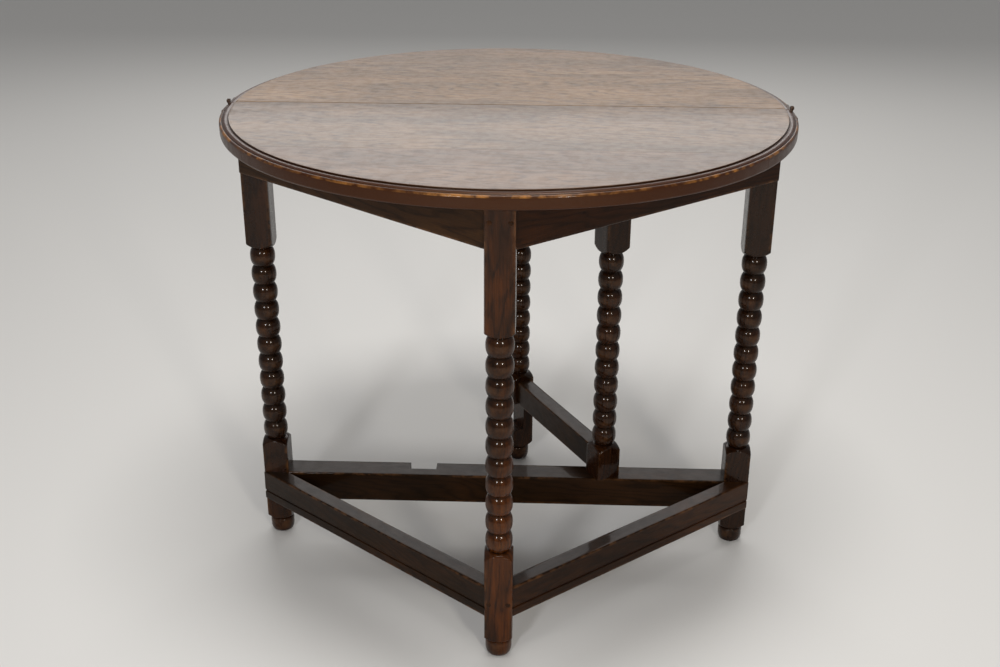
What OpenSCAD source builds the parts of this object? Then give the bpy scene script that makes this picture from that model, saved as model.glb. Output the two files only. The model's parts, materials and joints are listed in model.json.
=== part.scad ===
// Joined gateleg table with a round fold-over top on bobbin-turned legs.
// The origin is on the floor, under the centre of the round top. +Z is up, +X runs along the split between
// the two halves of the top, and the fixed half lies on the -Y side.

/* [Top] */
// Height of the table, floor to top surface
table_h = 720; // [600:1:870]
// Diameter of the round top
top_d = 828; // [690:1:1000]
// Thickness of the top boards
top_t = 22; // [18:0.5:27]
// Gap between the fixed half and the leaf
split_gap = 1; // [0.6:0.1:2]
// Distance from the split to the board joint in the fixed half
fixed_joint = 235; // [150:1:290]
// Distance from the split to the board joint in the leaf
leaf_joint = 205; // [150:1:290]
// Width of the moulding around the rim
rim_w = 13; // [10:0.5:20]

/* [Frame] */
// Side of the square leg blocks
leg_w = 40; // [36:1:50]
// Distance from the rim to the centre of a side leg
side_inset = 41; // [35:1:70]
// Distance from the rim to the centre of the front leg
front_inset = 83; // [60:1:110]
// Distance from the split back to the rear faces of the side legs
back_set = 1; // [0.5:0.5:10]
// Depth of the aprons under the top
apron_h = 75; // [62:1:95]
// Thickness of the front aprons and front stretchers
front_rail_t = 25; // [20:0.5:28]
// Thickness of the rear apron and rear stretcher
rear_rail_t = 40; // [34:1:48]
// Depth of the stretchers
stretcher_h = 50; // [40:1:60]
// Height of the top edges of the stretchers above the floor
stretcher_top = 118; // [100:1:125]

/* [Turnings] */
// Diameter of the bobbins
bobbin_d = 38; // [32:0.5:42]
// Diameter of the necks between the bobbins
neck_d = 30; // [22:0.5:33]
// Height of one bobbin, fitted to a whole number between the blocks
bobbin_pitch = 29.8; // [24:0.1:40]
// Length of the flat side of each bobbin
bobbin_flat = 8; // [4:0.5:14]
// Length of the square block at the top of each leg
upper_block_h = 195; // [170:1:215]
// Height of the top of the square block at the stretchers
lower_block_top = 176; // [170:1:195]
// Height of the turned feet
foot_h = 27; // [20:1:35]
// Largest diameter of the turned feet
foot_d = 38; // [32:0.5:42]
// Diameter of the feet at the floor
foot_base_d = 22; // [16:0.5:28]

/* [Gate] */
// Distance from the middle of the frame to the pivot post
pivot_x = 158; // [140:1:185]
// Distance between the pivot post and the gate leg
gate_reach = 293; // [260:1:310]
// Angle by which the gate stands open
gate_open = 61; // [40:1:80]
// Thickness of the gate's rails
gate_rail_t = 26; // [20:0.5:30]
// Depth of the gate's lower rail
gate_stretcher_h = 43; // [35:1:50]
// Depth of the gate's top rail
gate_top_rail_h = 50; // [40:1:55]
// Diameter of the turned pivots at the ends of the post
pivot_d = 16; // [12:0.5:20]
// Length of the turned pivots
pivot_len = 26; // [18:1:32]
// Room left around the gate leg in each notch
notch_play = 1.5; // [1:0.25:4]

/* [Joints and fasteners] */
// Length of the tenons on the front rails
front_tenon_len = 13; // [10:0.5:14]
// Length of the tenons on the rear rails and the gate's rails
rear_tenon_len = 20; // [16:0.5:24]
// Thickness of the tenons
tenon_t = 11; // [8:0.5:12]
// Distance from a rail's edge to its tenon
tenon_shoulder = 8; // [5:0.5:12]
// Diameter of the pegs
peg_d = 7; // [5:0.5:9]
// Width of the glue blocks
glue_block_w = 22; // [18:1:30]
// Length of the glue blocks
glue_block_len = 80; // [50:1:100]
// Diameter of the screws that hold the top
top_screw_d = 4.5; // [3.5:0.5:6]
// Length of the hinge plates, from the pin to the end
hinge_len = 40; // [30:1:55]
// Thickness of the hinge plates
hinge_t = 4; // [3:0.2:6]
// Width of the hinge plates
hinge_w = 9; // [8:0.5:11]
// Diameter of the eyes that turn on the hinge pins
hinge_eye_d = 6.8; // [6:0.2:9]
// Diameter of the hinge pins
hinge_pin_d = 3; // [2.4:0.2:4]
// Diameter of the screws in the hinge plates
hinge_screw_d = 3.2; // [2.5:0.1:4]

/* [Hidden] */
$fn = 64;

// Clearances
wood_play = 0.2;     // around and past the end of a tenon
peg_play = 0.05;     // around a peg or a screw, on the radius
pivot_play = 0.1;    // around a turned pivot, on the radius
pin_play = 0.05;     // around a hinge pin, on the radius
seat_gap = 0.3;      // between pieces that slide past each other
eps = 1;             // by which a cut runs past a face

// Levels
top_r = top_d / 2;
underside = table_h - top_t;
apron_z = underside - apron_h;
stretcher_z = stretcher_top - stretcher_h;
upper_block_z = underside - upper_block_h;
turned_h = upper_block_z - lower_block_top;
bobbin_count = round(turned_h / bobbin_pitch);
gate_stretcher_z = stretcher_top + 3;
gate_top_rail_z = apron_z - 8 - gate_top_rail_h;

// Places of the legs and the gate
leg_y = -(back_set + leg_w / 2);
side_x = top_r - side_inset;
front_y = -(top_r - front_inset);
side_front = leg_y - leg_w / 2;
front_back = front_y + leg_w / 2;
side_outer = side_x + leg_w / 2;
side_inner = side_x - leg_w / 2;
notch_x = pivot_x - gate_reach;
rear_rail_y = leg_y - rear_rail_t / 2;

// The front rails run from the outer front corner of a side leg to the back corner of the front leg
run_x = side_outer - leg_w / 2;
run_y = side_front - front_back;
rail_angle = atan2(run_y, run_x) + asin(front_rail_t / norm([run_x, run_y]));
side_seat = front_rail_t / sin(rail_angle);
front_seat = front_rail_t / cos(rail_angle);
front_seat_y = front_back - front_seat / 2;
side_seat_x = side_outer - side_seat / 2;

// Hinges at the two ends of the split
hinge_z = table_h + seat_gap;
hinge_eye_r = hinge_eye_d / 2;
hinge_drop = 9;
hinge_recess = 2;
hinge_outer = top_r - hinge_recess;
hinge_inner = hinge_outer - hinge_t;
hinge_half = (hinge_t - 0.2) / 2;
hinge_eye_room = 1.5;
hinge_screw_len = 22;
hinge_head_d = 2 * hinge_screw_d;
hinge_head_h = 1.6;
hinge_screw_y = [hinge_eye_r + 10, hinge_len - 7];

// Glue blocks, along the inner faces of the aprons
rear_block_x = [-side_inner / 2 - 20, side_inner / 2];
top_screw_len = glue_block_w + top_t * 0.6;

oak = [0.20, 0.11, 0.06];
oak_top = [0.33, 0.22, 0.15];
iron = [0.16, 0.15, 0.14];

// ---- Shared shapes ----

module both_sides() {
    children();
    mirror([1, 0, 0]) children();
}

// A square block between two heights, its ends rounded over in the lathe
module turned_block(z0, z1, round_low = true, round_high = true) {
    shoulder_r = 0.88 * leg_w;
    seat_r = neck_d / 2 + 1.5;
    set = sqrt(pow(shoulder_r, 2) - pow(seat_r, 2));
    intersection() {
        translate([-leg_w / 2, -leg_w / 2, z0]) cube([leg_w, leg_w, z1 - z0]);
        union() {
            if (round_low) translate([0, 0, z0 + set]) sphere(shoulder_r);
            if (round_high) translate([0, 0, z1 - set]) sphere(shoulder_r);
            translate([0, 0, z0 + (round_low ? set : 0)])
                cylinder(r = leg_w, h = z1 - z0 - (round_low ? set : 0) - (round_high ? set : 0));
        }
    }
}

// The string of bobbins between the lower and upper blocks
module bobbins() {
    pitch = turned_h / bobbin_count;
    curl = (pitch - bobbin_flat) / 2;
    translate([0, 0, lower_block_top - 2]) cylinder(d = neck_d, h = turned_h + 4);
    for (i = [0:bobbin_count - 1]) translate([0, 0, lower_block_top + (i + 0.5) * pitch])
        rotate_extrude() intersection() {
            union() {
                for (s = [-1, 1]) translate([bobbin_d / 2 - curl, s * bobbin_flat / 2]) circle(curl);
                translate([0, -bobbin_flat / 2]) square([bobbin_d / 2, bobbin_flat]);
                translate([0, -pitch / 2]) square([bobbin_d / 2 - curl, pitch]);
            }
            translate([0, -pitch / 2]) square([bobbin_d, pitch]);
        }
}

// A ball foot on a short neck
module foot() {
    ball_r = foot_d * 0.24;
    ball_z = foot_h - ball_r - 2.5;
    cylinder(d = foot_base_d, h = foot_h + 2);
    cylinder(d1 = foot_base_d, d2 = foot_d - 2, h = ball_z);
    translate([0, 0, ball_z]) rotate_extrude() translate([foot_d / 2 - ball_r, 0]) circle(ball_r);
}

// A whole leg, standing on the floor at the origin
module turned_leg(top_z) {
    foot();
    turned_block(foot_h, lower_block_top);
    bobbins();
    turned_block(upper_block_z, top_z, true, false);
}

// A peg or its hole, driven from the origin along +Y
module peg(len, play = 0) {
    rotate([-90, 0, 0]) cylinder(d = peg_d + 2 * play, h = len);
}

// ---- Front rails, in the positions of the left-hand ones ----

// Tenon of a front rail in a side leg, straight into the leg's front face
module side_tenon(z0, h, play = 0) {
    translate([-side_seat_x - tenon_t / 2 - play, side_front - eps, z0 + tenon_shoulder - play])
        cube([tenon_t + 2 * play, front_tenon_len + eps + play, h - 2 * tenon_shoulder + 2 * play]);
}

// Tenon of a front rail in the front leg, straight into the leg's side
module front_tenon(z0, h, play = 0) {
    translate([-leg_w / 2 - eps, front_seat_y - tenon_t / 2 - play, z0 + tenon_shoulder - play])
        cube([front_tenon_len + eps + play, tenon_t + 2 * play, h - 2 * tenon_shoulder + 2 * play]);
}

// Pegs through the tenons of the left-hand front rails
module front_rail_pegs(play = 0) {
    for (z = front_peg_levels()) {
        translate([-side_outer - peg_proud(play), side_front + front_tenon_len / 2, z])
            rotate([0, 0, -90]) peg(side_peg_len(play), play);
        translate([-leg_w / 2 + front_tenon_len / 2, front_y - leg_w / 2 - peg_proud(play), z])
            peg(front_peg_len(play), play);
    }
}
function front_peg_levels() = [apron_z + apron_h / 2, stretcher_z + stretcher_h / 2];
function peg_proud(play) = play > 0 ? eps : 0.4;
function side_peg_len(play) = side_outer - side_seat_x + tenon_t / 2 + 6 + peg_proud(play);
function front_peg_len(play) = front_seat_y - front_y + leg_w / 2 + tenon_t / 2 + 6 + peg_proud(play);

module front_rail(z0, h) {
    difference() {
        union() {
            translate([0, 0, z0]) linear_extrude(h) polygon([
                [-side_outer, side_front], [-leg_w / 2, front_back - front_seat],
                [-leg_w / 2, front_back], [-side_outer + side_seat, side_front]]);
            side_tenon(z0, h);
            front_tenon(z0, h);
        }
        front_rail_pegs(peg_play);
    }
}

// A shallow bead line scratched along the outer face of a front stretcher
module bead_line() {
    len = norm([run_x, run_y]) + leg_w;
    translate([-side_outer, side_front, stretcher_z + 14]) rotate([0, 0, -rail_angle])
        translate([-leg_w / 2, -eps, 0]) cube([len, eps + 0.8, 2.2]);
}

// ---- Rear rails ----

// Tenon of a rear rail in the left leg
module rear_tenon(z0, h, play = 0) {
    translate([-side_inner - rear_tenon_len - play, leg_y - tenon_t / 2 - play, z0 + tenon_shoulder - play])
        cube([rear_tenon_len + eps + play, tenon_t + 2 * play, h - 2 * tenon_shoulder + 2 * play]);
}

// Pegs through the tenons in the left leg, driven from the back
module rear_rail_pegs(play = 0) {
    for (z = front_peg_levels()) translate([-side_inner - rear_tenon_len / 2 + 2,
            leg_y + leg_w / 2 + peg_proud(play), z + 12])
        mirror([0, 1, 0]) peg(leg_w / 2 + tenon_t / 2 + 3 + peg_proud(play), play);
}

// Notch for the gate leg in the back half of a rear rail
module rail_notch(z0, h) {
    notch_w = leg_w + 2 * notch_play;
    translate([notch_x - notch_w / 2, leg_y - seat_gap, z0 - eps])
        cube([notch_w, rear_rail_t, h + 2 * eps]);
}

module rear_rail(z0, h) {
    difference() {
        union() {
            translate([-side_inner, rear_rail_y, z0]) cube([2 * side_inner, rear_rail_t, h]);
            both_sides() rear_tenon(z0, h);
        }
        rail_notch(z0, h);
        both_sides() rear_rail_pegs(peg_play);
    }
}

module rear_apron() {
    color(oak) difference() {
        rear_rail(apron_z, apron_h);
        translate([pivot_x, leg_y, apron_z - eps]) cylinder(d = pivot_d + 2 * pivot_play,
            h = pivot_len + 2 * eps);
    }
}

module rear_stretcher() {
    color(oak) difference() {
        rear_rail(stretcher_z, stretcher_h);
        translate([pivot_x, leg_y, stretcher_top - pivot_len - eps]) cylinder(d = pivot_d + 2 * pivot_play,
            h = pivot_len + 2 * eps);
    }
}

// ---- Legs, aprons and stretchers ----

module left_leg() {
    color(oak) difference() {
        translate([-side_x, leg_y, 0]) turned_leg(underside);
        side_tenon(apron_z, apron_h, wood_play);
        side_tenon(stretcher_z, stretcher_h, wood_play);
        rear_tenon(apron_z, apron_h, wood_play);
        rear_tenon(stretcher_z, stretcher_h, wood_play);
        front_rail_pegs(peg_play);
        rear_rail_pegs(peg_play);
    }
}
module right_leg() { mirror([1, 0, 0]) left_leg(); }

module front_leg() {
    color(oak) difference() {
        translate([0, front_y, 0]) turned_leg(underside);
        both_sides() {
            front_tenon(apron_z, apron_h, wood_play);
            front_tenon(stretcher_z, stretcher_h, wood_play);
            front_rail_pegs(peg_play);
        }
    }
}

module front_left_apron() { color(oak) front_rail(apron_z, apron_h); }
module front_right_apron() { mirror([1, 0, 0]) front_left_apron(); }

module front_left_stretcher() {
    color(oak) difference() {
        front_rail(stretcher_z, stretcher_h);
        bead_line();
    }
}
module front_right_stretcher() { mirror([1, 0, 0]) front_left_stretcher(); }

module frame_pegs() {
    color(oak) both_sides() {
        front_rail_pegs();
        rear_rail_pegs();
    }
}

// ---- The top ----

// Round top with its moulded rim: a step, a low band, a groove and a rounded arris
module round_top() {
    arris = 3;
    step = 2;
    groove = 1;
    arris_z = top_t - step - 2 * arris + 1;
    groove_r = top_r - arris - groove;
    band_r = top_r - rim_w;
    translate([0, 0, underside]) rotate_extrude() polygon(concat(
        [[0, 0], [top_r - 1, 0], [top_r, 1]],
        [for (a = [0:30:90]) [top_r - arris + arris * cos(a), arris_z + arris * sin(a)]],
        [[groove_r + groove / 2, arris_z + arris - 0.6], [groove_r, top_t - step - 1.4],
            [band_r + 2, top_t - step + 0.2], [band_r, top_t - step], [band_r, top_t], [0, top_t]]));
}

// The part of the round top between two distances from the split
module top_strip(y0, y1) {
    intersection() {
        round_top();
        translate([-top_d, min(y0, y1), 0]) cube([2 * top_d, abs(y1 - y0), table_h + eps]);
    }
}

// Pockets in one half for the hinges at both ends of the split; side is -1 or 1
module hinge_pockets(side) {
    both_sides() {
        translate([hinge_inner - 0.1, side > 0 ? 0 : -hinge_len - 0.3, hinge_z - hinge_drop - hinge_w / 2 - 0.3])
            cube([leg_w, hinge_len + 0.3, hinge_w + 0.6]);
        translate([hinge_inner - 0.1, side > 0 ? -eps : -hinge_eye_r - hinge_eye_room, underside + 3])
            cube([leg_w, hinge_eye_r + hinge_eye_room + eps, top_t]);
        for (y = hinge_screw_y) translate([hinge_inner, side * y, hinge_z - hinge_drop]) rotate([0, -90, 0])
            cylinder(d = hinge_screw_d + 2 * peg_play, h = hinge_screw_len);
    }
}

module fixed_inner_board() {
    color(oak_top) difference() {
        top_strip(-split_gap / 2, -fixed_joint);
        hinge_pockets(-1);
        top_screw_holes();
    }
}

module fixed_outer_board() {
    color(oak_top) difference() {
        top_strip(-fixed_joint, -top_r - eps);
        top_screw_holes();
    }
}

module leaf_inner_board() {
    color(oak_top) difference() {
        top_strip(split_gap / 2, leaf_joint);
        hinge_pockets(1);
    }
}

module leaf_outer_board() { color(oak_top) top_strip(leaf_joint, top_r + eps); }

// ---- Glue blocks and screws under the top ----

// Puts its children at each glue block, with the apron's face on the block's +Y side
module at_glue_blocks() {
    for (x = rear_block_x) translate([x, leg_y - rear_rail_t / 2, underside]) children();
    both_sides() for (share = [0.3, 0.72])
        translate([-side_outer + side_seat, side_front, underside]) rotate([0, 0, -rail_angle])
            translate([share * norm([run_x, run_y]) - 20, 0, 0]) mirror([0, 1, 0]) children();
}

module glue_blocks() {
    color(oak_top) at_glue_blocks() difference() {
        translate([0, 0, -glue_block_w]) rotate([90, 0, 90])
            translate([0, 0, -glue_block_len / 2]) linear_extrude(glue_block_len)
                polygon([[0, 0], [0, glue_block_w], [-glue_block_w, glue_block_w],
                    [-glue_block_w, glue_block_w * 0.6], [-glue_block_w * 0.4, 0]]);
        glue_block_screws(peg_play);
    }
}

// The two screws in a glue block, heads down
module glue_block_screws(play = 0) {
    for (x = [-1, 1] * glue_block_len / 4) translate([x, -glue_block_w * 0.4, 0]) {
        translate([0, 0, -glue_block_w - (play > 0 ? eps : 0)])
            cylinder(d = top_screw_d + 2 * play, h = top_screw_len + (play > 0 ? 2 : 1) * eps);
        translate([0, 0, -glue_block_w - (play > 0 ? eps : 0)])
            cylinder(d = 2 * top_screw_d + 2 * play, h = top_screw_d * 0.6 + (play > 0 ? eps : 0));
    }
}

module top_screws() { color(iron) at_glue_blocks() glue_block_screws(); }
module top_screw_holes() { at_glue_blocks() glue_block_screws(peg_play); }

// ---- Hinges ----

// A hinge plate at the +X end, pointing along +Y from the pin; outer chooses which half of the eye it has
module hinge_plate(outer) {
    eye_x = outer ? hinge_outer - hinge_half : hinge_inner;
    bar_z = hinge_z - hinge_drop - hinge_w / 2;
    difference() {
        union() {
            translate([hinge_inner, hinge_eye_r + hinge_eye_room, bar_z])
                cube([hinge_t, hinge_len - hinge_eye_r - hinge_eye_room, hinge_w]);
            translate([eye_x, 0, bar_z]) cube([hinge_half, hinge_eye_r + hinge_eye_room + eps, hinge_w]);
            translate([eye_x, 0, bar_z]) cube([hinge_half, hinge_eye_r, hinge_drop + hinge_w / 2]);
            translate([eye_x, 0, hinge_z]) rotate([0, 90, 0]) cylinder(r = hinge_eye_r, h = hinge_half);
        }
        translate([hinge_inner - eps, 0, hinge_z]) rotate([0, 90, 0])
            cylinder(d = hinge_pin_d + 2 * pin_play, h = hinge_t + 2 * eps);
        for (y = hinge_screw_y) translate([hinge_outer, y, hinge_z - hinge_drop]) hinge_screw(peg_play);
    }
}

// A countersunk hinge screw with its head at the origin, driven along -X
module hinge_screw(play = 0) {
    rotate([0, -90, 0]) {
        cylinder(d = hinge_screw_d + 2 * play, h = hinge_screw_len);
        cylinder(d1 = hinge_head_d + 2 * play, d2 = hinge_screw_d + 2 * play, h = hinge_head_h);
    }
    if (play > 0) rotate([0, 90, 0]) cylinder(d = hinge_head_d + 2 * play, h = eps);
}

module hinge_fixed_plates() { color(iron) both_sides() mirror([0, 1, 0]) hinge_plate(false); }
module hinge_leaf_plates() { color(iron) both_sides() hinge_plate(true); }

module hinge_pins() {
    color(iron) both_sides() {
        translate([hinge_inner, 0, hinge_z]) rotate([0, 90, 0]) cylinder(d = hinge_pin_d, h = hinge_t);
        translate([hinge_outer + 0.1, 0, hinge_z]) rotate([0, 90, 0])
            cylinder(d1 = 1.8 * hinge_pin_d, d2 = 1.2 * hinge_pin_d, h = 1.1);
        translate([hinge_outer - 0.1, 0, hinge_z]) rotate([0, 90, 0]) cylinder(d = hinge_pin_d, h = 0.4);
    }
}

module hinge_screws(side) {
    color(iron) both_sides() for (y = hinge_screw_y)
        translate([hinge_outer, side * y, hinge_z - hinge_drop]) hinge_screw();
}
module hinge_fixed_screws() { hinge_screws(-1); }
module hinge_leaf_screws() { hinge_screws(1); }

// ---- The gate ----

// Swings a gate piece, drawn closed with the gate leg in its notches, to where the gate stands open
module swung_open() {
    translate([pivot_x, leg_y, 0]) rotate([0, 0, -gate_open]) translate([-pivot_x, -leg_y, 0]) children();
}

// Tenons of a gate rail
module gate_tenons(z0, h, play = 0) {
    for (x = [notch_x + leg_w / 2 - rear_tenon_len - play, pivot_x - leg_w / 2 - eps])
        translate([x, leg_y - tenon_t / 2 - play, z0 + tenon_shoulder - play])
            cube([rear_tenon_len + eps + play, tenon_t + 2 * play, h - 2 * tenon_shoulder + 2 * play]);
}

// Pegs through the tenons of the gate, driven from the back
module gate_joint_pegs(play = 0) {
    for (x = [notch_x + leg_w / 2 - rear_tenon_len / 2, pivot_x - leg_w / 2 + rear_tenon_len / 2],
            z = [gate_stretcher_z + gate_stretcher_h / 2, gate_top_rail_z + gate_top_rail_h / 2])
        translate([x, leg_y + leg_w / 2 + (play > 0 ? eps : 0), z])
            mirror([0, 1, 0]) peg(leg_w / 2 + tenon_t / 2 + 5 + (play > 0 ? eps : 0), play);
}

module gate_rail(z0, h) {
    difference() {
        union() {
            translate([notch_x + leg_w / 2, leg_y - gate_rail_t / 2, z0])
                cube([gate_reach - leg_w, gate_rail_t, h]);
            gate_tenons(z0, h);
        }
        gate_joint_pegs(peg_play);
    }
}

module gate_stretcher() { color(oak) swung_open() gate_rail(gate_stretcher_z, gate_stretcher_h); }
module gate_top_rail() { color(oak) swung_open() gate_rail(gate_top_rail_z, gate_top_rail_h); }
module gate_pegs() { color(oak) swung_open() gate_joint_pegs(); }

module gate_mortises() {
    gate_tenons(gate_stretcher_z, gate_stretcher_h, wood_play);
    gate_tenons(gate_top_rail_z, gate_top_rail_h, wood_play);
    gate_joint_pegs(peg_play);
}

// The pivot post stands on the rear stretcher and turns on its own two pivots
module gate_post() {
    color(oak) swung_open() difference() {
        translate([pivot_x, leg_y, 0]) {
            turned_block(stretcher_top + seat_gap, lower_block_top, false, true);
            bobbins();
            turned_block(upper_block_z, apron_z - seat_gap, true, false);
            translate([0, 0, stretcher_top - pivot_len]) cylinder(d = pivot_d, h = pivot_len + 2);
            translate([0, 0, apron_z - 2]) cylinder(d = pivot_d, h = pivot_len + 2);
        }
        gate_mortises();
    }
}

// Halving in the front of the gate leg, where it crosses a rear rail
module leg_halving(z0, h) {
    translate([notch_x - leg_w, leg_y - leg_w, z0 - 2])
        cube([2 * leg_w, leg_w + seat_gap, h + 4]);
}

module gate_leg() {
    color(oak) swung_open() difference() {
        translate([notch_x, leg_y, 0]) turned_leg(underside - seat_gap);
        leg_halving(stretcher_z, stretcher_h);
        leg_halving(apron_z, apron_h);
        gate_mortises();
    }
}

front_leg();
left_leg();
right_leg();
front_left_apron();
front_right_apron();
rear_apron();
front_left_stretcher();
front_right_stretcher();
rear_stretcher();
fixed_inner_board();
fixed_outer_board();
glue_blocks();
top_screws();
frame_pegs();
hinge_fixed_plates();
hinge_pins();
hinge_fixed_screws();
leaf_inner_board();
leaf_outer_board();
hinge_leaf_plates();
hinge_leaf_screws();
gate_post();
gate_leg();
gate_top_rail();
gate_stretcher();
gate_pegs();
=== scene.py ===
import json
import math

import bmesh
import bpy
from mathutils import Matrix, Vector, noise


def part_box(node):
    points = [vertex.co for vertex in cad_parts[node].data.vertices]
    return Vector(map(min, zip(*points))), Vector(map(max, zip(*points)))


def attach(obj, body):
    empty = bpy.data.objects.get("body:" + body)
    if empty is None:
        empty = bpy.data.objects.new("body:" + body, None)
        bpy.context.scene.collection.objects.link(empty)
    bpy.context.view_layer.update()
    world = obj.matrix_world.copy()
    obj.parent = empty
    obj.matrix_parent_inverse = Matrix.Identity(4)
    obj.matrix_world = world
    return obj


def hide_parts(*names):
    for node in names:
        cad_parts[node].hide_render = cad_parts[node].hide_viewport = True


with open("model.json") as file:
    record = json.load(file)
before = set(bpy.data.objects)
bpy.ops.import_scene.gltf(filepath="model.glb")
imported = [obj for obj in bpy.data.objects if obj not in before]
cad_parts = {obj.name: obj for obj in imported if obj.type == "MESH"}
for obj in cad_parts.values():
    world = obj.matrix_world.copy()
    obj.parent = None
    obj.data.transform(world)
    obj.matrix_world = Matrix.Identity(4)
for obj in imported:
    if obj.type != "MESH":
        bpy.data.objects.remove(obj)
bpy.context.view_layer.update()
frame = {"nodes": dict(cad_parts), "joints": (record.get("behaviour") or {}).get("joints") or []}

# The table stands in metres: +Z up, +X along the split in the top, the fixed half and the front leg on -Y.

MM = 0.001
WELD = 1e-6            # points closer than this are one point
SINK = 0.4 * MM        # how far a rail's end runs into the leg it meets
CLEARANCE = 0.3 * MM   # between sawn faces that stand against each other


# ---- Sizes, all read from the frame ----

def span(node, axis):
    """Lowest and highest value of a CAD node along one axis."""
    low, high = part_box(node)
    return low[axis], high[axis]


def middle(node, axis):
    low, high = span(node, axis)
    return (low + high) / 2


left_x = middle("left_leg", 0)
right_x = middle("right_leg", 0)
side_y = middle("left_leg", 1)
front_y = middle("front_leg", 1)
leg_w = span("left_leg", 0)[1] - span("left_leg", 0)[0]
leg_top = span("left_leg", 2)[1]
table_h = span("leaf_outer_board", 2)[1]
top_r = -span("fixed_outer_board", 1)[0]
split_front = span("fixed_inner_board", 1)[1]
split_back = span("leaf_inner_board", 1)[0]
front_joint = span("fixed_inner_board", 1)[0]
leaf_joint = span("leaf_inner_board", 1)[1]
stretcher_low, stretcher_top = span("rear_stretcher", 2)
apron_low = span("rear_apron", 2)[0]
gate_joint = next(j for j in frame["joints"] if j["name"] == "gate_swing")
pivot = Vector(gate_joint["pos_m"][:2] + [0.0])
gate_closing = math.radians(gate_joint["range_deg"][1])
gate_leg_at = Vector((middle("gate_leg", 0), middle("gate_leg", 1), 0.0))
gate_reach = (gate_leg_at - pivot).length
hinge_outer = span("hinge_fixed_plates", 0)[1]
hinge_len = span("hinge_leaf_plates", 1)[1]
hinge_bar_low = span("hinge_fixed_plates", 2)[0]

# Sizes of the turnings and joints that the CAD boxes don't give by themselves
upper_block_low = 503 * MM
lower_block_top = 176 * MM
foot_h = 27 * MM
foot_r = 19 * MM
bobbin_r = 19 * MM
neck_r = 14.4 * MM
bobbins_per_leg = 11
front_rail_t = 25 * MM
rear_rail_t = span("rear_stretcher", 1)[1] - span("rear_stretcher", 1)[0]
gate_rail_t = 26 * MM
pivot_r = 8 * MM
pivot_len = 25 * MM
notch_play = 1.5 * MM
foot_base_r = 12.5 * MM
hinge_bar_h = 9 * MM
arris_r = 1.6 * MM
block_corner_r = leg_w * 0.5 * math.sqrt(2) + 0.2 * MM


# ---- Colours and nodes ----

def srgb(code):
    """An sRGB hex colour as a linear RGBA tuple."""
    values = [int(code[i:i + 2], 16) / 255 for i in (1, 3, 5)]
    return tuple(v / 12.92 if v <= 0.04045 else ((v + 0.055) / 1.055) ** 2.4 for v in values) + (1.0,)


def node(tree, kind, settings=None, **links):
    """Adds one shader node. Settings are its properties; links set or join its inputs by name."""
    new = tree.nodes.new(kind)
    for key, value in (settings or {}).items():
        setattr(new, key, value)
    for key, value in links.items():
        socket = new.inputs[int(key[1:])] if key[1:].isdigit() else new.inputs[key.replace("_", " ")]
        if isinstance(value, bpy.types.NodeSocket):
            tree.links.new(value, socket)
        else:
            socket.default_value = value
    return new


def ramp(tree, factor, stops):
    """A colour ramp through (position, colour) stops."""
    new = node(tree, "ShaderNodeValToRGB", Fac=factor)
    elements = new.color_ramp.elements
    while len(elements) < len(stops):
        elements.new(0.5)
    for element, (place, colour) in zip(elements, stops):
        element.position = place
        element.color = srgb(colour) if isinstance(colour, str) else (colour, colour, colour, 1.0)
    return new.outputs["Color"]


def mixed(tree, kind, amount, first, second):
    """Two colours mixed; amount is a number or a socket."""
    return node(tree, "ShaderNodeMix", {"data_type": "RGBA", "blend_type": kind},
                i0=amount, i6=first, i7=second).outputs[2]


def math_node(tree, operation, first, second=0.0):
    return node(tree, "ShaderNodeMath", {"operation": operation}, i0=first, i1=second).outputs[0]


# ---- Finishes ----

# Grain runs along local X of the pattern; these turn it onto a piece.
ALONG_X = (0.0, 0.0, 0.0)
ALONG_Z = (0.0, math.radians(90), 0.0)
LEFT_RAIL = (0.0, 0.0, math.radians(-39))
RIGHT_RAIL = (0.0, 0.0, math.radians(39))
ALONG_GATE = (0.0, 0.0, math.radians(-61))


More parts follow.
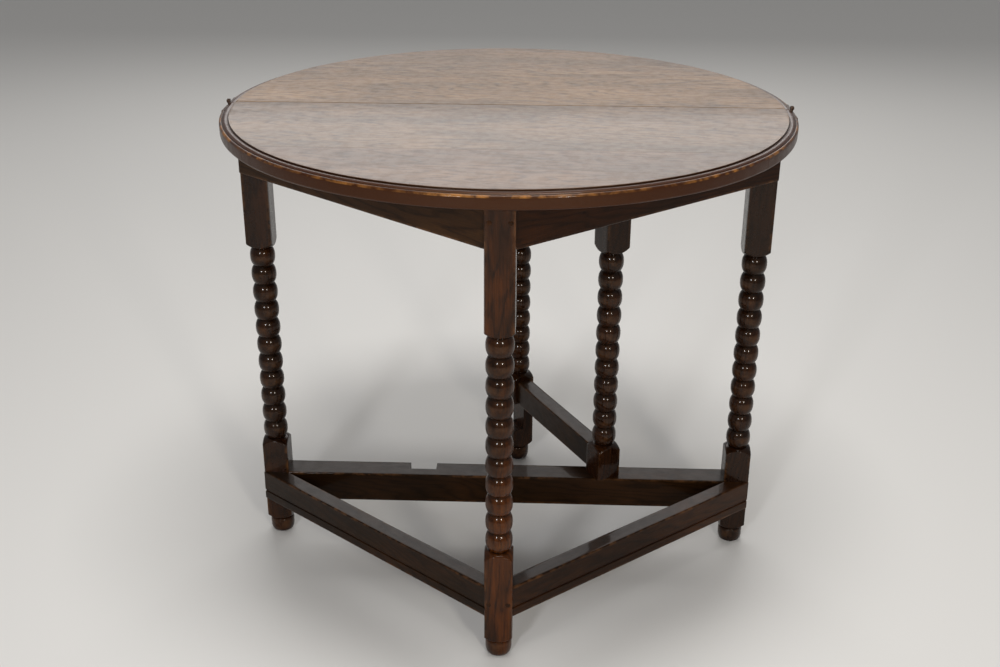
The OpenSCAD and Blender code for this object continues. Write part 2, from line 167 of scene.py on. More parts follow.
def oak(name, turn, dark, mid, light, seed=0.0, rough=0.3, coat=0.2, sheen=0.12, stains=0.0, waxed="#4a2208",
        worn="#6f4a2c", shade_and_grime="#0b0603"):
    """Stained and waxed oak. Slow tone changes, growth rings drawn out along the grain, and open pores
    that hold dark wax. The wax coat gives small sharp highlights over a body with a low sheen, tinted
    warm as a painted reflection of a brown wooden floor.
    The attribute 'wax' colours an edge with old polish, 'wear' rubs arrises and crests lighter, and
    the grime attribute darkens hollows, grooves and undersides: real grime, and painted shade."""
    material = bpy.data.materials.new(name)
    material.use_nodes = True
    tree = material.node_tree
    tree.nodes.clear()
    place = node(tree, "ShaderNodeTexCoord").outputs["Object"]
    turned = node(tree, "ShaderNodeMapping", {"vector_type": "TEXTURE"}, Vector=place, Rotation=turn,
                  Location=(seed * 0.37, seed * 0.53, seed * 0.71)).outputs[0]
    # Tone drifts over 60 mm across the grain and 250 mm along it
    tone_room = node(tree, "ShaderNodeMapping", Vector=turned, Scale=(0.25, 1.0, 1.0)).outputs[0]
    tone = node(tree, "ShaderNodeTexNoise", Vector=tone_room, Scale=16.0, Detail=5.0, Roughness=0.62,
                Distortion=0.4).outputs["Fac"]
    # Growth rings 14 mm apart, pulled into long irregular arches
    drawn_out = node(tree, "ShaderNodeMapping", Vector=turned, Scale=(0.16, 1.0, 1.0)).outputs[0]
    warp = node(tree, "ShaderNodeTexNoise", Vector=drawn_out, Scale=7.0, Detail=4.0,
                Roughness=0.6).outputs["Color"]
    warped = node(tree, "ShaderNodeVectorMath", {"operation": "MULTIPLY_ADD"}, i0=warp,
                  i1=(0.0, 0.2, 0.2), i2=drawn_out).outputs[0]
    rings = node(tree, "ShaderNodeTexWave", {"wave_type": "BANDS", "bands_direction": "DIAGONAL"},
                 Vector=warped, Scale=44.0, Distortion=2.2, Detail=3.0, i4=1.2, i5=0.65).outputs["Fac"]
    ring_soft = ramp(tree, rings, [(0.0, 0.4), (1.0, 0.6)])
    ring_lines = ramp(tree, rings, [(0.02, 1.0), (0.2, 0.0)])
    # Fibre streaks 1 to 2 mm wide
    fibres = node(tree, "ShaderNodeMapping", Vector=turned, Scale=(0.035, 1.0, 1.0)).outputs[0]
    streaks = node(tree, "ShaderNodeTexNoise", Vector=fibres, Scale=600.0, Detail=3.0,
                   Roughness=0.6).outputs["Fac"]
    # Pores are 0.3 mm wide in the wood and drawn 0.8 mm wide and 12 mm long, so that they show
    pore_room = node(tree, "ShaderNodeMapping", Vector=turned, Scale=(0.07, 1.0, 1.0)).outputs[0]
    pores = node(tree, "ShaderNodeTexNoise", Vector=pore_room, Scale=1150.0, Detail=1.0,
                 Roughness=0.4).outputs["Fac"]
    pore_mask = ramp(tree, pores, [(0.60, 0.0), (0.70, 1.0)])
    blend = mixed(tree, "MIX", 0.22, tone, ring_soft)
    blend = mixed(tree, "MIX", 0.22, blend, streaks)
    colour = ramp(tree, blend, [(0.33, dark), (0.50, mid), (0.67, light)])
    pores_here = math_node(tree, "MULTIPLY", pore_mask, math_node(tree, "SUBTRACT", 1.15, rings))
    colour = mixed(tree, "MULTIPLY", math_node(tree, "MULTIPLY", pores_here, 0.6), colour, srgb("#3a2a20"))
    colour = mixed(tree, "MULTIPLY", math_node(tree, "MULTIPLY", ring_lines, 0.38), colour, srgb("#6a5040"))
    # Old stains 100 to 200 mm across, and small dark knots about 250 mm apart
    cloud = node(tree, "ShaderNodeTexNoise", Vector=turned, Scale=8.0, Detail=4.0, Roughness=0.6)
    stain = ramp(tree, cloud.outputs["Fac"], [(0.50, 0.0), (0.68, 1.0)])
    knot_room = node(tree, "ShaderNodeTexVoronoi", {"voronoi_dimensions": "2D"}, Vector=turned, Scale=4.0)
    knot = ramp(tree, knot_room.outputs["Distance"], [(0.010, 1.0), (0.028, 0.0)])
    marks = math_node(tree, "MAXIMUM", math_node(tree, "MULTIPLY", stain, 0.5), knot)
    colour = mixed(tree, "MIX", math_node(tree, "MULTIPLY", marks, stains), colour, srgb("#2c2018"))
    wax = node(tree, "ShaderNodeAttribute", {"attribute_name": "wax"}).outputs["Fac"]
    wear = node(tree, "ShaderNodeAttribute", {"attribute_name": "wear"}).outputs["Fac"]
    dirt_and_shade = node(tree, "ShaderNodeAttribute", {"attribute_name": "dirt_and_shade"}).outputs["Fac"]
    polished = mixed(tree, "MULTIPLY", 1.0, colour, srgb(waxed))
    polished = mixed(tree, "MIX", 0.6, polished, srgb(waxed))
    colour = mixed(tree, "MIX", wax, colour, polished)
    patchy = node(tree, "ShaderNodeTexNoise", Vector=turned, Scale=70.0, Detail=3.0, Roughness=0.6)
    patchy = ramp(tree, patchy.outputs["Fac"], [(0.42, 0.0), (0.62, 1.0)])
    rubbed = math_node(tree, "MULTIPLY", wear, patchy)
    colour = mixed(tree, "MIX", math_node(tree, "MULTIPLY", rubbed, 0.75), colour, srgb(worn))
    # Hollows darken towards the grime colour: real grime, and painted shade.
    colour = mixed(tree, "MIX", math_node(tree, "MULTIPLY", dirt_and_shade, 0.85), colour, srgb(shade_and_grime))
    shine = math_node(tree, "MULTIPLY_ADD", patchy, 0.08)
    shine.node.inputs[2].default_value = rough
    height = math_node(tree, "SUBTRACT", math_node(tree, "MULTIPLY", streaks, 0.25),
                       math_node(tree, "MULTIPLY", pore_mask, 0.5))
    bump = node(tree, "ShaderNodeBump", Strength=0.35, Distance=0.0004, Height=height).outputs[0]
    shader = node(tree, "ShaderNodeBsdfPrincipled", i0=colour, Roughness=shine, Normal=bump)
    shader.inputs["Specular IOR Level"].default_value = sheen
    # The specular reflections are tinted warm: a painted reflection of a brown wooden floor.
    shader.inputs["Specular Tint"].default_value = srgb("#e0b48c")
    shader.inputs["Coat Weight"].default_value = coat
    shader.inputs["Coat Roughness"].default_value = 0.07
    node(tree, "ShaderNodeOutputMaterial", Surface=shader.outputs[0])
    return material


def wrought_iron():
    """Forged iron, gone brown-black with age and old wax. The hammered faces catch the light unevenly."""
    material = bpy.data.materials.new("aged_wrought_iron")
    material.use_nodes = True
    tree = material.node_tree
    tree.nodes.clear()
    place = node(tree, "ShaderNodeTexCoord").outputs["Object"]
    scale_marks = node(tree, "ShaderNodeTexNoise", Vector=place, Scale=420.0, Detail=4.0, Roughness=0.6)
    marks = scale_marks.outputs["Fac"]
    colour = ramp(tree, marks, [(0.35, "#2b1f17"), (0.55, "#433022"), (0.7, "#63452f")])
    rough = ramp(tree, marks, [(0.3, 0.38), (0.7, 0.62)])
    bump = node(tree, "ShaderNodeBump", Strength=0.5, Distance=0.0003, Height=marks).outputs[0]
    shader = node(tree, "ShaderNodeBsdfPrincipled", i0=colour, Roughness=rough, Normal=bump)
    shader.inputs["Metallic"].default_value = 0.6
    node(tree, "ShaderNodeOutputMaterial", Surface=shader.outputs[0])
    return material


# ---- Building pieces ----

def finish_piece(name, mesh, material, body, nodes, smooth=35.0):
    """Turns a bmesh into a piece that rides on a body and stands for its CAD nodes."""
    data = bpy.data.meshes.new(name)
    mesh.to_mesh(data)
    mesh.free()
    data.materials.append(material)
    piece = bpy.data.objects.new(name, data)
    bpy.context.scene.collection.objects.link(piece)
    data.shade_smooth()
    data.set_sharp_from_angle(angle=math.radians(smooth))
    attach(piece, body)
    if nodes:
        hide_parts(*nodes)
    return piece


def layers(mesh):
    """The wear, wax and darkening values that each point of a piece carries. The darkening is grime and
    painted shade.
    """
    found = mesh.verts.layers.float
    for name in ("wear", "dirt_and_shade", "wax"):
        if name not in found:
            found.new(name)
    return found["wear"], found["dirt_and_shade"], found["wax"]


def smoothstep(low, high, value):
    t = min(1.0, max(0.0, (value - low) / (high - low)))
    return t * t * (3 - 2 * t)


def close_cut(mesh, place, normal):
    """Saws a closed mesh along a plane, keeps the side behind it and closes the cut."""
    cut = bmesh.ops.bisect_plane(mesh, geom=mesh.verts[:] + mesh.edges[:] + mesh.faces[:], plane_co=place,
                                 plane_no=normal, clear_outer=True, dist=WELD)
    edges = [g for g in cut["geom_cut"] if isinstance(g, bmesh.types.BMEdge) and g.is_valid]
    bmesh.ops.contextual_create(mesh, geom=edges)


def loops_across(mesh, places, normal):
    """Adds edge loops where planes cross the mesh, with nothing removed."""
    for place in places:
        bmesh.ops.bisect_plane(mesh, geom=mesh.verts[:] + mesh.edges[:] + mesh.faces[:], plane_co=place,
                               plane_no=normal, dist=WELD)


def rail_blank(length, thick, height, arris=arris_r, step=18 * MM):
    """A planed rail along X, centred on Y, standing on Z = 0. Its long arrises are rounded by wear, and it
    has loops beside them and along it, so that wear and the plane's waviness have points to sit on."""
    mesh = bmesh.new()
    bmesh.ops.create_cube(mesh, size=1.0)
    bmesh.ops.scale(mesh, vec=(length, thick, height), verts=mesh.verts)
    bmesh.ops.translate(mesh, vec=(0, 0, height / 2), verts=mesh.verts)
    long_edges = [e for e in mesh.edges if abs(e.verts[0].co.x - e.verts[1].co.x) > length / 2]
    bmesh.ops.bevel(mesh, geom=long_edges, offset=arris, segments=3, profile=0.5, affect="EDGES",
                    material=-1)
    inset = 4.5 * MM
    loops_across(mesh, [(0, s * (thick / 2 - inset), 0) for s in (-1, 1)], (0, 1, 0))
    loops_across(mesh, [(0, 0, inset), (0, 0, height - inset)], (0, 0, 1))
    count = max(2, round(length / step))
    loops_across(mesh, [(length * (i / count - 0.5), 0, 0) for i in range(1, count)], (1, 0, 0))
    return mesh


def plane_marks(mesh, thick, height, seed, depth=0.35 * MM, arris=arris_r):
    """Sets the wear along a rail's arrises and lets its faces wander as hand-planed wood does."""
    wear, dirt_and_shade, wax = layers(mesh)
    for v in mesh.verts:
        to_y = thick / 2 - abs(v.co.y)
        to_z = min(v.co.z, height - v.co.z)
        on_arris = 1.0 - smoothstep(arris * 0.6, arris * 2.2, max(to_y, to_z))
        rubbed = 0.5 + 0.8 * noise.noise((v.co.x * 9 + seed, v.co.y * 30, v.co.z * 30))
        v[wear] = on_arris * min(1.0, max(0.0, rubbed))
        v[dirt_and_shade], v[wax] = 0.0, 0.0
        sway = depth * noise.noise((v.co.x * 7 + seed, v.co.y * 12, v.co.z * 12 + seed))
        v.co.y += sway
        v.co.z += 0.6 * depth * noise.noise((v.co.x * 8, v.co.y * 12 + seed, v.co.z * 10))


# ---- Turned legs ----

def turned_outline(top, has_foot=True, low=0.0):
    """The lathe's radius at each height, as (z, radius) from the floor or the pivot up."""
    points = foot_outline() if has_foot else []
    neck_seat = neck_r + 1.2 * MM
    foot_seat = foot_r - 2 * MM if has_foot else None
    points += block_outline(foot_h if has_foot else low, lower_block_top, foot_seat, neck_seat)
    points += bobbin_outline()
    points += block_outline(upper_block_low, top, neck_seat, None)
    return points


def foot_outline():
    """A bun foot as wide as the bobbins, rounded in to the floor, with a quirk under the block."""
    points = [(0.0, foot_base_r), (0.4 * MM, foot_base_r + 1.1 * MM)]
    turn, flat_top = 11.5 * MM, foot_h - 4.5 * MM
    for i in range(9):
        a = math.radians(90 * i / 8)
        points.append((foot_base_r - turn * math.cos(a), foot_r - turn * 0.42 * (1 - math.sin(a))))
    points += [(flat_top - 2 * MM, foot_r), (flat_top, foot_r - 0.25 * MM)]
    for i in range(1, 6):
        a = math.radians(80 * i / 5)
        points.append((flat_top + 3.6 * MM * math.sin(a), foot_r - 0.3 * MM - 3.2 * MM * (1 - math.cos(a))))
    return points


def shoulder(seat):
    """Heights and radii of a block's turned shoulder, from its seat out to the block's corners."""
    ball = 0.88 * leg_w
    seat_at = math.sqrt(ball ** 2 - seat ** 2)
    reach = seat_at - math.sqrt(ball ** 2 - block_corner_r ** 2)
    steps = 14
    return [(reach * i / steps, math.sqrt(ball ** 2 - (seat_at - reach * i / steps) ** 2))
            for i in range(steps + 1)]


def block_outline(low, high, low_seat, high_seat):
    """A square block as the lathe sees it. An end with a seat is shouldered down to that radius."""
    corner = block_corner_r
    points = []
    if low_seat:
        points += [(low + z, r) for z, r in shoulder(low_seat)]
    else:
        points += [(low, corner - 1.4 * MM), (low + 0.5 * MM, corner - 0.6 * MM), (low + 1.2 * MM, corner)]
    start = points[-1][0]
    end = high - (shoulder(high_seat)[-1][0] if high_seat else 1.2 * MM)
    count = max(2, round((end - start) / (9 * MM)))
    points += [(start + (end - start) * i / count, corner) for i in range(1, count)]
    if high_seat:
        points += [(high - z, r) for z, r in reversed(shoulder(high_seat))]
    else:
        points += [(high - 1.2 * MM, corner), (high - 0.5 * MM, corner - 0.6 * MM),
                   (high, corner - 1.4 * MM)]
    return points


def bobbin_outline():
    """Full round bobbins, with a sharp quirk between each two."""
    half_pitch = (upper_block_low - lower_block_top) / bobbins_per_leg / 2
    fullness = 2.5
    steps = 9
    points = []
    for i in range(bobbins_per_leg):
        crest = lower_block_top + (2 * i + 1) * half_pitch
        for k in range(-steps, steps + 1):
            t = math.sin(math.radians(87 * k / steps))
            points.append((crest + half_pitch * t,
                           neck_r + (bobbin_r - neck_r) * (1 - abs(t) ** fullness)))
    return points


def turned_piece(outline, seed):
    """Spins an outline round Z, then planes the square blocks flat on it."""
    mesh = bmesh.new()
    points = [(outline[0][0], 0.0)] + outline + [(outline[-1][0], 0.0)]
    verts = [mesh.verts.new((r, 0, z)) for z, r in points]
    edges = [mesh.edges.new(pair) for pair in zip(verts, verts[1:])]
    bmesh.ops.spin(mesh, geom=verts + edges, cent=(0, 0, 0), axis=(0, 0, 1), angle=math.tau, steps=72,
                   use_merge=True)
    bmesh.ops.remove_doubles(mesh, verts=mesh.verts, dist=WELD)
    bmesh.ops.recalc_face_normals(mesh, faces=mesh.faces)
    wear, dirt_and_shade = layers(mesh)[:2]
    half = leg_w / 2
    round_off = 2.2 * MM
    for v in mesh.verts:
        r = math.hypot(v.co.x, v.co.y)
        if r < 1e-6:
            continue
        crest = (r - neck_r) / (bobbin_r - neck_r)
        on_block = r > bobbin_r + 0.4 * MM
        if not on_block:
            # The necks between the bobbins are darkened: grime, and painted shade in the hollows.
            v[dirt_and_shade] = 0.75 * (1.0 - smoothstep(0.05, 0.5, crest))
            v[wear] = 0.25 * smoothstep(0.85, 1.0, crest)
        a = math.atan2(v.co.y, v.co.x)
        side = max(abs(math.cos(a)), abs(math.sin(a)))
        flat = half / side
        if r > flat - 0.8 * MM:
            near_corner = half * math.sqrt(2) - flat
            flat -= max(0.0, round_off * 0.42 - near_corner * 0.5) * (side < 0.78)
            pressed = min(r, flat)
            v.co.x *= pressed / r
            v.co.y *= pressed / r
            rub = 0.5 + 0.9 * noise.noise((v.co.z * 12 + seed, a, seed))
            if on_block:
                v[wear] = (1.0 - smoothstep(0.6 * MM, 3.2 * MM, near_corner)) * min(1.0, max(0.0, rub))
        sway = 0.25 * MM * noise.noise((v.co.x * 25, v.co.y * 25 + seed, v.co.z * 9 + seed))
        v.co.x += sway
        v.co.y += sway * 0.6
    return mesh


def cutter_box(low, high):
    """A box between two corners, to saw with."""
    mesh = bmesh.new()
    bmesh.ops.create_cube(mesh, size=1.0)
    bmesh.ops.scale(mesh, vec=Vector(high) - Vector(low), verts=mesh.verts)
    bmesh.ops.translate(mesh, vec=(Vector(high) + Vector(low)) / 2, verts=mesh.verts)
    data = bpy.data.meshes.new("cutter")
    mesh.to_mesh(data)
    mesh.free()
    cutter = bpy.data.objects.new("cutter", data)
    bpy.context.scene.collection.objects.link(cutter)
    return cutter


def saw_out(piece, cutter, smooth=35.0):
    """Cuts one solid out of a piece and applies the cut."""
    cut = piece.modifiers.new("saw", "BOOLEAN")
    cut.operation = "DIFFERENCE"
    cut.solver = "EXACT"
    cut.object = cutter
    graph = bpy.context.evaluated_depsgraph_get()
    data = bpy.data.meshes.new_from_object(piece.evaluated_get(graph), depsgraph=graph)
    piece.modifiers.clear()
    piece.data = data
    bpy.data.objects.remove(cutter)
    data.set_sharp_from_angle(angle=math.radians(smooth))


def gate_turn(mesh):
    """Swings a gate piece, built closed, to where the gate stands open."""
    turn = Matrix.Rotation(-gate_closing, 4, "Z")
    middle_of_post = Matrix.Translation(pivot)
    bmesh.ops.transform(mesh, matrix=middle_of_post @ turn @ middle_of_post.inverted(), verts=mesh.verts)


def legs():
    """The three fixed legs, the pivot post and the gate leg."""
    for name, x, y, seed in (("left_leg", left_x, side_y, 1.3), ("right_leg", right_x, side_y, 4.1),
                             ("front_leg", 0.0, front_y, 7.7)):
        mesh = turned_piece(turned_outline(leg_top), seed)
        bmesh.ops.translate(mesh, vec=(x, y, 0), verts=mesh.verts)
        material = front_leg_oak if name == "front_leg" else leg_oak
        finish_piece(name + "_turned", mesh, material, "frame", [name])

    post_low, post_high = stretcher_top + CLEARANCE, apron_low - CLEARANCE
    mesh = turned_piece(turned_outline(post_high, has_foot=False, low=post_low), 2.9)
    add_pivots(mesh, post_low, post_high)
    bmesh.ops.translate(mesh, vec=pivot, verts=mesh.verts)
    gate_turn(mesh)
    finish_piece("gate_post_turned", mesh, leg_oak, "gate", ["gate_post"])

    closed_x = pivot.x - gate_reach
    mesh = turned_piece(turned_outline(leg_top - CLEARANCE), 5.6)
    bmesh.ops.translate(mesh, vec=(closed_x, pivot.y, 0), verts=mesh.verts)
    piece = finish_piece("gate_leg_turned", mesh, leg_oak, "gate", ["gate_leg"])
    for low, high in ((stretcher_low - 2 * MM, stretcher_top + 2 * MM), (apron_low - 2 * MM, leg_top + MM)):
        front = pivot.y - leg_w + CLEARANCE
        saw_out(piece, cutter_box((closed_x - leg_w, front, low), (closed_x + leg_w, front + leg_w, high)))
    mesh = bmesh.new()
    mesh.from_mesh(piece.data)
    gate_turn(mesh)
    mesh.to_mesh(piece.data)
    mesh.free()


def add_pivots(mesh, low, high):
    """Turned pivots at both ends of the pivot post."""
    for z, up in ((low, -1), (high, 1)):
        place = Matrix.Translation((0, 0, z + up * pivot_len / 2))
        bmesh.ops.create_cone(mesh, cap_ends=True, segments=32, radius1=pivot_r, radius2=pivot_r,
                              depth=pivot_len, matrix=place)


# ---- Rails ----

def bead_on(mesh, thick):
    """Scratches a bead line along the outer face, 14 mm above the bottom edge."""
    loops_across(mesh, [(0, 0, z * MM) for z in (11.5, 13.2, 14.2, 15.4, 17.0)], (0, 0, 1))
    for v in mesh.verts:
        if v.co.y < -thick / 2 + 0.6 * MM:
            depth = {13: 0.1, 14: 1.5, 15: 1.2}.get(int(v.co.z / MM), 0.0)
            v.co.y += depth * MM


def front_rails():
    """The four rails between the side legs and the front leg, sawn to the legs' faces."""
    side_front = side_y - leg_w / 2
    front_back = front_y + leg_w / 2
    run = Vector((right_x, side_front - front_back))
    angle = math.atan2(run.y, run.x) + math.asin(front_rail_t / run.length)
    for name, low, high, mirror, seed in (
            ("front_left_apron", apron_low, leg_top, 1, 2.0),
            ("front_right_apron", apron_low, leg_top, -1, 5.0),
            ("front_left_stretcher", stretcher_low, stretcher_top, 1, 8.0),
            ("front_right_stretcher", stretcher_low, stretcher_top, -1, 11.0)):
        length = run.length + 2 * leg_w
        mesh = rail_blank(length, front_rail_t, high - low)
        if "stretcher" in name:
            bead_on(mesh, front_rail_t)
        plane_marks(mesh, front_rail_t, high - low, seed)
        bmesh.ops.rotate(mesh, matrix=Matrix.Rotation(-angle, 3, "Z"), verts=mesh.verts)
        # The outer face starts at the side leg's outer front corner
        start = Vector((left_x - leg_w / 2, side_front, 0))
        along = Vector((math.cos(angle), -math.sin(angle), 0))
        inward = Vector((math.sin(angle), math.cos(angle), 0))
        centre = start + along * (run.length / 2) + inward * (front_rail_t / 2)
        bmesh.ops.translate(mesh, vec=centre + Vector((0, 0, low)), verts=mesh.verts)
        close_cut(mesh, (0, side_front + SINK, 0), (0, 1, 0))
        close_cut(mesh, (-leg_w / 2 + SINK, 0, 0), (1, 0, 0))
        if mirror < 0:
            bmesh.ops.scale(mesh, vec=(-1, 1, 1), verts=mesh.verts)
            bmesh.ops.recalc_face_normals(mesh, faces=mesh.faces)
        material = apron_oak[mirror] if "apron" in name else stretcher_oak[mirror]
        finish_piece(name + "_rail", mesh, material, "frame", [name])


def rear_rails():
    """The rear apron and stretcher, with the notch that the gate leg closes into."""
    length = right_x - left_x - leg_w + 2 * SINK
    notch_low, notch_high = notch_ends()
    for name, low, high, seed in (("rear_stretcher", stretcher_low, stretcher_top, 3.0),
                                  ("rear_apron", apron_low, leg_top, 6.0)):
        mesh = rail_blank(length, rear_rail_t, high - low)
        plane_marks(mesh, rear_rail_t, high - low, seed)
        bmesh.ops.translate(mesh, vec=(0, side_y, low), verts=mesh.verts)
        piece = finish_piece(name + "_rail", mesh, rear_oak, "frame", [name])
        back = side_y - CLEARANCE
        overrun = 10 * MM
        saw_out(piece, cutter_box((notch_low, back, low - overrun),
                                  (notch_high, back + leg_w, high + overrun)))


def notch_ends():
    """Where the notch in the rear rails starts and ends along X."""
    centre = pivot.x - gate_reach
    half = leg_w / 2 + notch_play
    return centre - half, centre + half


def gate_rails():
    """The gate's stretcher and its top rail."""
    length = gate_reach - leg_w + 2 * SINK
    for name, seed in (("gate_stretcher", 9.0), ("gate_top_rail", 12.0)):
        low, high = span(name, 2)
        mesh = rail_blank(length, gate_rail_t, high - low)
        plane_marks(mesh, gate_rail_t, high - low, seed)
        bmesh.ops.translate(mesh, vec=(pivot.x - gate_reach / 2, pivot.y, low), verts=mesh.verts)
        gate_turn(mesh)
        finish_piece(name + "_rail", mesh, gate_oak, "gate", [name])


# ---- The top ----

def rim_outline():
    """Section of the round top from its middle, over the moulded rim, to its underside, as (r, z)."""
    h, low = table_h, leg_top
    r = top_r
    points = [(0, h), (r - 120 * MM, h), (r - 17 * MM, h), (r - 14.6 * MM, h),
              (r - 13.6 * MM, h - 0.15 * MM), (r - 13.1 * MM, h - 0.8 * MM),
              (r - 13.0 * MM, h - 2.2 * MM), (r - 12.3 * MM, h - 2.5 * MM)]
    for i in range(9):
        t = i / 8
        points.append((r - 11.8 * MM + 6.8 * MM * t, h - 2.3 * MM - 1.3 * MM * t * t
                       + 1.1 * MM * math.sin(math.pi * t) * 0.55))
    points += [(r - 4.6 * MM, h - 4.4 * MM), (r - 4.0 * MM, h - 4.7 * MM), (r - 3.5 * MM, h - 4.3 * MM)]
    for i in range(11):
        a = math.radians(90 - 90 * i / 10)
        points.append((r - 3.2 * MM + 3.2 * MM * math.cos(a), h - 7.2 * MM + 3.2 * MM * math.sin(a)))
    points += [(r, h - 11 * MM), (r - 0.1 * MM, h - 15 * MM), (r - 0.2 * MM, low + 2.5 * MM),
               (r - 0.7 * MM, low + 0.9 * MM), (r - 1.7 * MM, low), (r - 12 * MM, low), (r - 120 * MM, low),
               (0, low)]
    return points


def round_top():
    """The whole round top as one spun disc, before it is sawn into boards."""
    mesh = bmesh.new()
    verts = [mesh.verts.new((r, 0, z)) for r, z in rim_outline()]
    edges = [mesh.edges.new(pair) for pair in zip(verts, verts[1:])]
    bmesh.ops.spin(mesh, geom=verts + edges, cent=(0, 0, 0), axis=(0, 0, 1), angle=math.tau, steps=240,
                   use_merge=True)
    bmesh.ops.remove_doubles(mesh, verts=mesh.verts, dist=WELD)
    bmesh.ops.recalc_face_normals(mesh, faces=mesh.faces)
    return mesh


def top_board(low, high, eased):
    """One board of the top between two distances from the split. Eased edges show as a fine joint line."""
    mesh = round_top()
    if high < top_r:
        close_cut(mesh, (0, high, 0), (0, 1, 0))
    if low > -top_r:
        close_cut(mesh, (0, low, 0), (0, -1, 0))
    for place, width in eased:
        edges = [e for e in mesh.edges if all(abs(v.co.y - place) < 1e-5 for v in e.verts)]
        bmesh.ops.bevel(mesh, geom=edges, offset=width, segments=2, profile=0.5, affect="EDGES", material=-1)
    wear, dirt_and_shade, wax = layers(mesh)
    for v in mesh.verts:
        r = math.hypot(v.co.x, v.co.y)
        depth = table_h - v.co.z
        # Grooves in the moulding are darkened fully and the underside partly: grime in the grooves, and
        # painted shade in both.
        in_groove = (abs(r - (top_r - 12.9 * MM)) < 0.7 * MM and depth > 0.7 * MM) \
            or (abs(r - (top_r - 4.1 * MM)) < 0.7 * MM and 4 * MM < depth < 6 * MM)
        on_rim = r > top_r - (14 * MM if depth < 6 * MM else 10 * MM)
        underneath = depth > table_h - leg_top - MM and not on_rim
        v[dirt_and_shade] = 1.0 if in_groove else (0.35 if underneath else 0.0)
        v[wax] = 1.0 if depth > 0.5 * MM and on_rim else 0.0
        angle = math.atan2(v.co.y, v.co.x)
        rub = 0.55 + 0.9 * noise.noise((math.cos(angle) * 6, math.sin(angle) * 6, depth * 90))
        on_arris = top_r - 3.4 * MM < r and 4 * MM < depth < 7 * MM
        v[wear] = min(1.0, max(0.0, rub)) if on_arris else 0.0
        if r > top_r - 20 * MM:
            v.co.z += 0.25 * MM * noise.noise((math.cos(angle) * 9, math.sin(angle) * 9, 3.1))
    return mesh


def top():
    """The four boards of the top, pocketed for the hinges at both ends of the split."""
    boards = (
        ("fixed_inner_board", front_joint, split_front, fixed_oak[0], "frame",
         ((split_front, 0.9 * MM), (front_joint, 0.25 * MM))),
        ("fixed_outer_board", -top_r, front_joint, fixed_oak[1], "frame", ((front_joint, 0.25 * MM),)),
        ("leaf_inner_board", split_back, leaf_joint, leaf_oak[0], "leaf",
         ((split_back, 0.9 * MM), (leaf_joint, 0.2 * MM))),
        ("leaf_outer_board", leaf_joint, top_r, leaf_oak[1], "leaf", ((leaf_joint, 0.2 * MM),)),
    )
    for name, low, high, material, body, eased in boards:
        mesh = top_board(low, high, eased)
        piece = finish_piece(name + "_planed", mesh, material, body, [name], smooth=11.0)
        if "inner" in name:
            for end in (-1, 1):
                for cutter in hinge_pockets(end, 1 if body == "leaf" else -1):
                    saw_out(piece, cutter, smooth=11.0)


# ---- Hinges, pegs, glue blocks and screws ----

def hinge_pockets(end, half):
    """The two recesses for a hinge in the rim: one for the bar and one for the eye."""
    inner = hinge_outer - 4.1 * MM
    outer = top_r + 20 * MM
    xs = sorted((end * inner, end * outer))
    bar_ys = sorted((0.0, half * (hinge_len + CLEARANCE)))
    eye_ys = sorted((-half * 1 * MM, half * 5.2 * MM))
    bar = cutter_box((xs[0], bar_ys[0], hinge_bar_low - CLEARANCE),
                     (xs[1], bar_ys[1], hinge_bar_low + hinge_bar_h + CLEARANCE))
    eye = cutter_box((xs[0], eye_ys[0], leg_top + 3 * MM), (xs[1], eye_ys[1], table_h + 5 * MM))
    return bar, eye


def softened(name, width):
    """A copy of a CAD fitting with its arrises rounded over."""
    source = frame["nodes"][name]
    mesh = bmesh.new()
    mesh.from_mesh(source.data)
    bmesh.ops.remove_doubles(mesh, verts=mesh.verts, dist=WELD)
    bmesh.ops.dissolve_limit(mesh, angle_limit=math.radians(1), verts=mesh.verts, edges=mesh.edges)
    sharp = [e for e in mesh.edges if e.is_manifold and e.calc_face_angle(0) > math.radians(40)]
    bmesh.ops.bevel(mesh, geom=sharp, offset=width, segments=2, profile=0.5, affect="EDGES", material=-1,
                    clamp_overlap=True)
    return mesh


def fittings():
    """Iron hinges and screws, oak pegs and glue blocks."""
    for name, body in (("hinge_fixed_plates", "frame"), ("hinge_leaf_plates", "leaf"),
                       ("hinge_pins", "frame")):
        finish_piece(name + "_forged", softened(name, 0.35 * MM), iron, body, [name])
    for name, body in (("hinge_fixed_screws", "frame"), ("hinge_leaf_screws", "leaf"),
                       ("top_screws", "frame")):
        finish_piece(name + "_cut", softened(name, 0.15 * MM), iron, body, [name])
    for name, body in (("frame_pegs", "frame"), ("gate_pegs", "gate")):
        finish_piece(name + "_riven", softened(name, 0.5 * MM), peg_oak, body, [name])
    finish_piece("glue_blocks_planed", softened("glue_blocks", 1.0 * MM), block_oak, "frame",
                 ["glue_blocks"])


# ---- Camera, light and floor ----

def camera():
    """Stands in front of the table and looks down on it."""
    data = bpy.data.cameras.new("view")
    data.sensor_width = 36.0
    data.lens = 45.4
    viewer = bpy.data.objects.new("view", data)
    bpy.context.scene.collection.objects.link(viewer)
    look_down = math.radians(24.3)
    aside, tilt = math.radians(1.86), math.radians(0.29)
    viewer.matrix_world = (Matrix.Translation((0.048, -1.810, 1.172)) @ Matrix.Rotation(aside, 4, "Z")
                           @ Matrix.Rotation(math.pi / 2 - look_down, 4, "X")
                           @ Matrix.Rotation(tilt, 4, "Z"))
    bpy.context.scene.camera = viewer


def soft_light(name, place, aim, size, power, colour="#ffffff"):
    data = bpy.data.lights.new(name, "AREA")
    data.shape = "RECTANGLE"
    data.size, data.size_y = size
    data.energy = power
    data.color = srgb(colour)[:3]
    lamp = bpy.data.objects.new(name, data)
    facing = (Vector(place) - Vector(aim)).to_track_quat("Z", "Y").to_matrix().to_4x4()
    lamp.matrix_world = Matrix.Translation(place) @ facing
    bpy.context.scene.collection.objects.link(lamp)


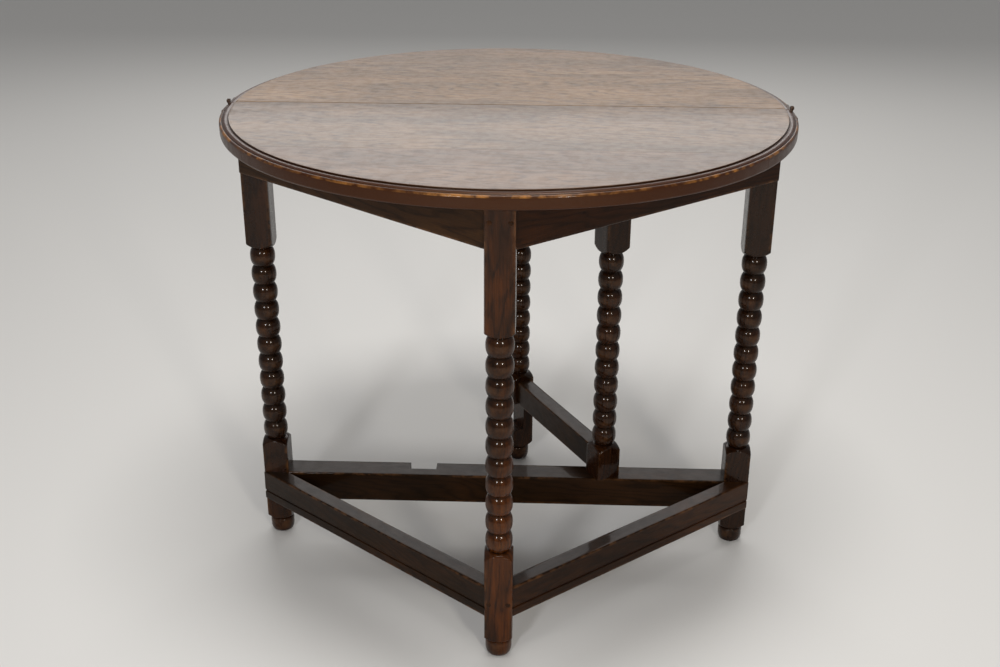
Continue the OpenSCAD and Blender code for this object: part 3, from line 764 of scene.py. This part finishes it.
def studio():
    """A pale floor under a bright even room, with soft boxes above."""
    mesh = bmesh.new()
    bmesh.ops.create_grid(mesh, x_segments=1, y_segments=1, size=12.0)
    data = bpy.data.meshes.new("floor")
    mesh.to_mesh(data)
    mesh.free()
    floor = bpy.data.objects.new("floor", data)
    bpy.context.scene.collection.objects.link(floor)
    pale = bpy.data.materials.new("pale_floor")
    pale.use_nodes = True
    shader = pale.node_tree.nodes["Principled BSDF"]
    shader.inputs["Base Color"].default_value = srgb("#d9d6d1")
    shader.inputs["Roughness"].default_value = 0.6
    data.materials.append(pale)

    world = bpy.data.worlds.new("room")
    bpy.context.scene.world = world
    world.use_nodes = True
    tree = world.node_tree
    tree.nodes.clear()
    sky = node(tree, "ShaderNodeBackground", Color=srgb("#f7f8fa"), Strength=0.30)
    node(tree, "ShaderNodeOutputWorld", Surface=sky.outputs[0])

    soft_light("overhead", (0.1, -0.4, 2.9), (0, 0, 0.4), (1.2, 0.8), 40)
    soft_light("left_window", (-0.95, -3.0, 1.5), (0, 0, 0.45), (0.3, 0.42), 30, "#f6f9ff")
    soft_light("right_window", (1.15, -2.9, 1.45), (0, 0, 0.45), (0.3, 0.42), 27, "#fffaf2")
    soft_light("back_wall", (0, 3.0, 2.3), (0, 0, 0.7), (3.4, 1.6), 40)


# ---- The table ----

bpy.context.scene.view_settings.view_transform = "Standard"
camera()
leg_oak = oak("dark_waxed_oak_legs", ALONG_Z, "#0f0602", "#1e0e05", "#361b09",
              seed=1.0, rough=0.26, coat=0.34)
front_leg_oak = oak("dark_waxed_oak_front_leg", ALONG_Z, "#130702", "#2c1404", "#552a09",
                    seed=2.0, rough=0.28, coat=0.34)
apron_oak = {1: oak("dark_waxed_oak_left_apron", LEFT_RAIL, "#1b1008", "#301d0e", "#452c14",
                    seed=3.0, rough=0.38, coat=0.14),
             -1: oak("dark_waxed_oak_right_apron", RIGHT_RAIL, "#110702", "#251004", "#3c1e09",
                     seed=4.0, rough=0.38, coat=0.14)}
stretcher_oak = {1: oak("dark_waxed_oak_left_stretcher", LEFT_RAIL, "#0e0602", "#1d0f04", "#311b09",
                        seed=5.0, rough=0.36, coat=0.18),
                 -1: oak("dark_waxed_oak_right_stretcher", RIGHT_RAIL, "#120702", "#241104", "#3b1f09",
                         seed=6.0, rough=0.36, coat=0.18)}
rear_oak = oak("dark_waxed_oak_rear_rails", ALONG_X, "#0f0702", "#1e1005", "#301b0a",
               seed=7.0, rough=0.36, coat=0.12)
gate_oak = oak("dark_waxed_oak_gate", ALONG_GATE, "#110803", "#211207", "#32200e",
               seed=8.0, rough=0.36, coat=0.12)
# Years of light have bleached the top, and a duller wax spreads the sheen over it
faded = dict(rough=0.38, coat=0.22, sheen=0.36, stains=0.55, waxed="#401d05", worn="#a06a30",
             shade_and_grime="#1c0b02")
fixed_oak = [oak("faded_waxed_oak_fixed_inner", ALONG_X, "#40301f", "#5c4631", "#775c41",
                 seed=9.0, **faded),
             oak("faded_waxed_oak_fixed_outer", ALONG_X, "#43301e", "#5d4430", "#765a41",
                 seed=10.4, **faded)]
leaf_oak = [oak("faded_waxed_oak_leaf_inner", ALONG_X, "#523d28", "#73583c", "#8d6f50",
                seed=12.2, **faded),
            oak("faded_waxed_oak_leaf_outer", ALONG_X, "#4e3c2a", "#6c543d", "#866a4e",
                seed=13.9, **faded)]
peg_oak = oak("dark_waxed_oak_pegs", ALONG_X, "#110702", "#221004", "#371d09", seed=14.0)
# Raw sawn oak, which is dry and matt
block_oak = oak("bare_oak_glue_blocks", ALONG_X, "#4a3526", "#5e4633", "#705642",
                seed=15.0, rough=0.6, coat=0.0)
iron = wrought_iron()

legs()
front_rails()
rear_rails()
gate_rails()
top()
fittings()
studio()
